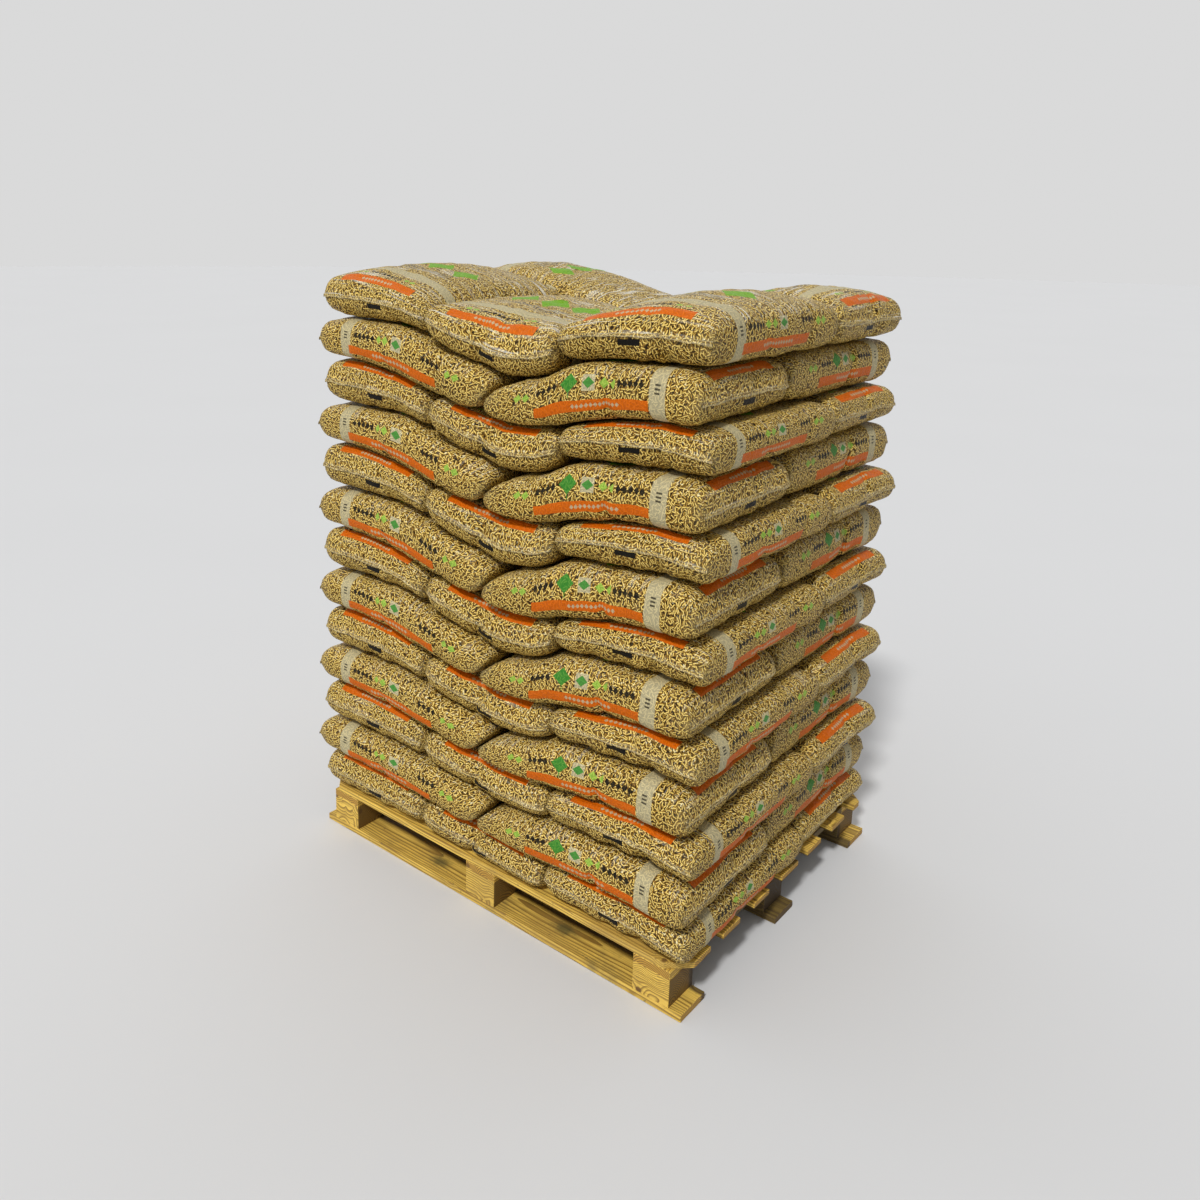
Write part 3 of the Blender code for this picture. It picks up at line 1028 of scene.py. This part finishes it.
def sawn_wood(name, settings, heart, seed, tone):
    """Sawn softwood for one board, block or runner: grain, knots, dirt, sawn-off ends, and painted shadow
    inside the openings.
    """
    material, nodes, shader = new_material(f"wood_{name}")
    is_block, is_transverse = name.startswith("block"), name.startswith("transverse")
    place_x, place_y, upright = nodes.parts(nodes.object_place())
    along, across = (place_y, place_x) if is_transverse else (place_x, place_y)
    shift = tuple(step * seed for step in WOOD_SHIFT)
    laid = nodes.vector("ADD", nodes.join(along, across, upright), shift)
    from_heart = nodes.join(0.0, nodes.minus(across, heart[0]), nodes.minus(upright, heart[1]))
    knot_cells = KNOTS_IN_BLOCKS if is_block else KNOTS_IN_BOARDS
    lines, knot = year_rings(nodes, laid, from_heart, knot_cells, settings.rings)
    fibres = nodes.noise(laid, (9.0, 260.0, 260.0))
    patches = nodes.ramp(nodes.noise(laid, 4.5, 3.0, 0.6), 0.45, 0.70, 0.0, 0.45)
    late = toned(settings.late, tone)
    colour = nodes.mix(nodes.times(lines, 0.90), toned(settings.early, tone), late)
    colour = nodes.mix(nodes.ramp(fibres, 0.42, 0.68, 0.0, 0.50), colour, late)
    colour = nodes.mix(patches, colour, toned((0.36, 0.22, 0.055), tone))
    colour = nodes.mix(nodes.times(knot, 0.85), colour, (0.12, 0.05, 0.012))
    spots = STAINS if name == "runner_front" else ()
    colour = add_dirt(nodes, colour, laid, [(x + shift[0], y + shift[1], 0.0) for x, y in spots])

    # Sawn-off ends have a tone of their own; the blocks' ends are much darker, partly painted shade
    end_tone = 1.0 if is_block else 2.6
    end_colour = nodes.mix(nodes.times(lines, 0.85), toned(END_PALE, end_tone), toned(END_DARK, end_tone))
    end_colour = nodes.mix(nodes.times(knot, 0.6), end_colour, (0.08, 0.035, 0.01))
    facing = nodes.facing()["Y" if is_transverse else "X"]
    colour = nodes.mix(nodes.ramp(nodes.size(facing), 0.80, 0.95), colour, end_colour)

    # The wood inside the openings is darkened nearly to black: partly dirt, partly painted shadow of the
    # deck.
    edge = settings.shade_and_grime_depth
    opening = nodes.ramp(nodes.size(place_y), edge - 0.008, edge + 0.006, 0.80, 0.0)
    opening = nodes.times(opening, nodes.math("LESS_THAN", upright, DECK_TOP - 0.012))
    colour = nodes.mix(opening, colour, (0.030, 0.018, 0.008))
    relief = nodes.bump(nodes.line(fibres, 0.6, nodes.times(lines, -0.35)), 0.55, 0.0012)
    nodes.fill(shader, {"Base Color": colour, "Roughness": nodes.blend(lines, 0.74, 0.62), "Normal": relief})
    return material


class PALLET_OT_finish_wood(bpy.types.Operator):
    """Give each board, block and runner its own piece of sawn wood"""

    bl_idname = "pallet_load.finish_wood"
    bl_label = "Finish Pallet Wood"

    def execute(self, context):
        settings = context.scene.pallet_wood
        values = random.Random(5)
        boards = [name for name in sorted(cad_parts) if not name.startswith("sack_layer")]
        if not boards:
            raise RuntimeError("the frame has no pallet boards")
        for seed, name in enumerate(boards, 1):
            tone = values.uniform(0.86, 1.04)
            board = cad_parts[name]
            low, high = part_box(name)
            middle = board.matrix_world.inverted() @ ((low + high) / 2)
            across = middle.x if name.startswith("transverse") else middle.y
            heart = (across + values.uniform(-0.035, 0.035), middle.z - values.uniform(0.025, 0.070))
            wood = sawn_wood(name, settings, heart, seed, tone)
            board.data.materials.clear()
            board.data.materials.append(wood)
        return {"FINISHED"}


def nail_head(radius):
    """The mesh of one nail head: a thin disc, with a shallow dish in its top."""
    deselect()
    bpy.ops.mesh.primitive_cylinder_add(vertices=12, radius=radius, depth=0.0012)
    nail = bpy.context.object
    bpy.ops.object.mode_set(mode="EDIT")
    bpy.ops.mesh.select_all(action="DESELECT")
    bpy.ops.object.mode_set(mode="OBJECT")
    for face in nail.data.polygons:
        face.select = face.normal.z > 0.9
    bpy.ops.object.mode_set(mode="EDIT")
    bpy.ops.mesh.select_mode(type="FACE")
    bpy.ops.mesh.inset(thickness=radius * 0.35)
    bpy.ops.transform.translate(value=(0, 0, -NAIL_SUNK))
    bpy.ops.object.mode_set(mode="OBJECT")
    head = nail.data.copy()
    bpy.data.objects.remove(nail)
    return head


def nail_places():
    """Two nails where each deck board crosses a transverse board."""
    values = random.Random(8)
    columns = [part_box(f"transverse_{name}") for name in ("left", "middle", "right")]
    found = []
    for number in range(1, 8):
        low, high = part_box(f"deck_board_{number}")
        for box_low, box_high in columns:
            middle = (box_low.x + box_high.x) / 2
            for side in (-1, 1):
                x = middle + side * 0.022 + values.uniform(-0.005, 0.005)
                y = (low.y + high.y) / 2 - side * (high.y - low.y) * 0.22 + values.uniform(-0.004, 0.004)
                found.append(Vector((x, y, high.z - NAIL_SUNK)))
    return found


def nail_steel():
    """Dull steel with rust."""
    material, nodes, shader = new_material("nail_steel")
    rust = nodes.noise(nodes.object_place(), 260.0, 3.0, 0.6)
    colour = nodes.mix(nodes.ramp(rust, 0.45, 0.65), (0.32, 0.31, 0.29), (0.14, 0.06, 0.02))
    roughness = nodes.ramp(rust, 0.40, 0.70, 0.35, 0.80)
    nodes.fill(shader, {"Base Color": colour, "Roughness": roughness, "Metallic": 0.9})
    return material


class PALLET_OT_drive_nails(bpy.types.Operator):
    """Drive nail heads through the deck boards into the transverse boards"""

    bl_idname = "pallet_load.drive_nails"
    bl_label = "Drive Nails"

    def execute(self, context):
        head = nail_head(context.scene.pallet_wood.nail_radius)
        points, faces = [], []
        for place in nail_places():
            start = len(points)
            points += [vert.co + place for vert in head.vertices]
            faces += [[start + index for index in face.vertices] for face in head.polygons]
        mesh = bpy.data.meshes.new("nail_heads")
        mesh.from_pydata(points, [], faces)
        mesh.materials.append(nail_steel())
        nails = bpy.data.objects.new("nail_heads", mesh)
        context.scene.collection.objects.link(nails)
        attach(nails, "root")
        bpy.data.meshes.remove(head)
        return {"FINISHED"}


def pale_floor(colour):
    """The floor's material, a little uneven in tone."""
    material, nodes, shader = new_material("pale_floor")
    tone = nodes.ramp(nodes.noise(nodes.object_place(), 0.6), 0.3, 0.7, 0.0, 0.03)
    colour = nodes.mix(tone, colour, (0.5, 0.5, 0.5))
    nodes.fill(shader, {"Base Color": colour, "Roughness": 0.9, "Specular IOR Level": 0.1})
    return material


def even_light(strength):
    """A white sky, darker towards +X."""
    world = bpy.data.worlds.new("even_light")
    world.use_nodes = True
    nodes = Nodes(world.node_tree)
    direction = nodes.parts(nodes.add("ShaderNodeTexCoord").outputs["Generated"])
    light = nodes.ramp(direction["X"], 0.0, 0.8, strength, strength * 0.33)
    sky = world.node_tree.nodes["Background"]
    nodes.fill(sky, {"Color": (1.0, 1.0, 1.0, 1.0), "Strength": light})
    return world


def soft_light(name, place, strength, colour):
    """A wide, even light from the direction of one place."""
    lamp = bpy.data.lights.new(name, "SUN")
    lamp.angle = math.radians(6)
    lamp.energy = strength
    lamp.color = colour
    light = bpy.data.objects.new(name, lamp)
    light.location = place
    light.rotation_euler = (-Vector(place)).to_track_quat("-Z", "Y").to_euler()
    bpy.context.scene.collection.objects.link(light)


class PALLET_OT_set_stage(bpy.types.Operator):
    """Set the pale floor, the soft lights and the camera"""

    bl_idname = "pallet_load.set_stage"
    bl_label = "Set Stage"

    def execute(self, context):
        settings = context.scene.pallet_stage
        scene = context.scene
        deselect()
        bpy.ops.mesh.primitive_circle_add(vertices=96, radius=40, fill_type="NGON", location=(0, 0, -0.0005))
        floor = context.object
        bpy.ops.object.transform_apply(location=True)
        floor.name = "floor"
        floor.data.materials.append(pale_floor(settings.floor))
        scene.world = even_light(settings.sky)
        soft_light("key_light", (1.0, -3.6, 4.25), settings.key, (1.0, 0.99, 0.97))
        camera = bpy.data.objects.new("camera", bpy.data.cameras.new("camera"))
        camera.location = (1.5745, -2.2619, 1.7186)
        camera.rotation_euler = (1.34763, -0.0122, 0.72651)
        camera.data.sensor_width = 36
        camera.data.lens = settings.lens
        camera.data.shift_x = 0.09167
        camera.data.shift_y = -0.11667
        scene.collection.objects.link(camera)
        scene.camera = camera
        scene.view_settings.view_transform = "Standard"
        return {"FINISHED"}


class PALLET_PT_load(bpy.types.Panel):
    """Steps and settings of the loaded pallet"""

    bl_label = "Pallet Load"
    bl_idname = "PALLET_PT_load"
    bl_space_type = "VIEW_3D"
    bl_region_type = "UI"
    bl_category = "Pallet Load"

    def draw(self, context):
        layout = self.layout
        for settings, steps in PANEL_ROWS:
            box = layout.box()
            group = getattr(context.scene, settings)
            for name in group.__annotations__:
                box.prop(group, name)
            for step in steps:
                box.operator(step)


PANEL_ROWS = (
    ("pallet_stage", ("pallet_load.set_stage",)),
    ("pallet_sacks", ("pallet_load.fill_blanks", "pallet_load.stack_sacks")),
    ("pallet_wood", ("pallet_load.finish_wood", "pallet_load.drive_nails")),
)

CLASSES = (
    SackSettings,
    WoodSettings,
    StageSettings,
    PALLET_OT_fill_blanks,
    PALLET_OT_stack_sacks,
    PALLET_OT_finish_wood,
    PALLET_OT_drive_nails,
    PALLET_OT_set_stage,
    PALLET_PT_load,
)


def register():
    """Adds the classes and their settings."""
    for item in CLASSES:
        bpy.utils.register_class(item)
    bpy.types.Scene.pallet_sacks = bpy.props.PointerProperty(type=SackSettings)
    bpy.types.Scene.pallet_wood = bpy.props.PointerProperty(type=WoodSettings)
    bpy.types.Scene.pallet_stage = bpy.props.PointerProperty(type=StageSettings)


def unregister():
    """Takes the settings and classes away again."""
    del bpy.types.Scene.pallet_stage
    del bpy.types.Scene.pallet_wood
    del bpy.types.Scene.pallet_sacks
    for item in reversed(CLASSES):
        bpy.utils.unregister_class(item)


def main():
    """Makes every piece in order."""
    register()
    bpy.ops.pallet_load.set_stage()
    bpy.ops.pallet_load.fill_blanks()
    bpy.ops.pallet_load.stack_sacks()
    bpy.ops.pallet_load.finish_wood()
    bpy.ops.pallet_load.drive_nails()


if __name__ == "__main__":
    main()
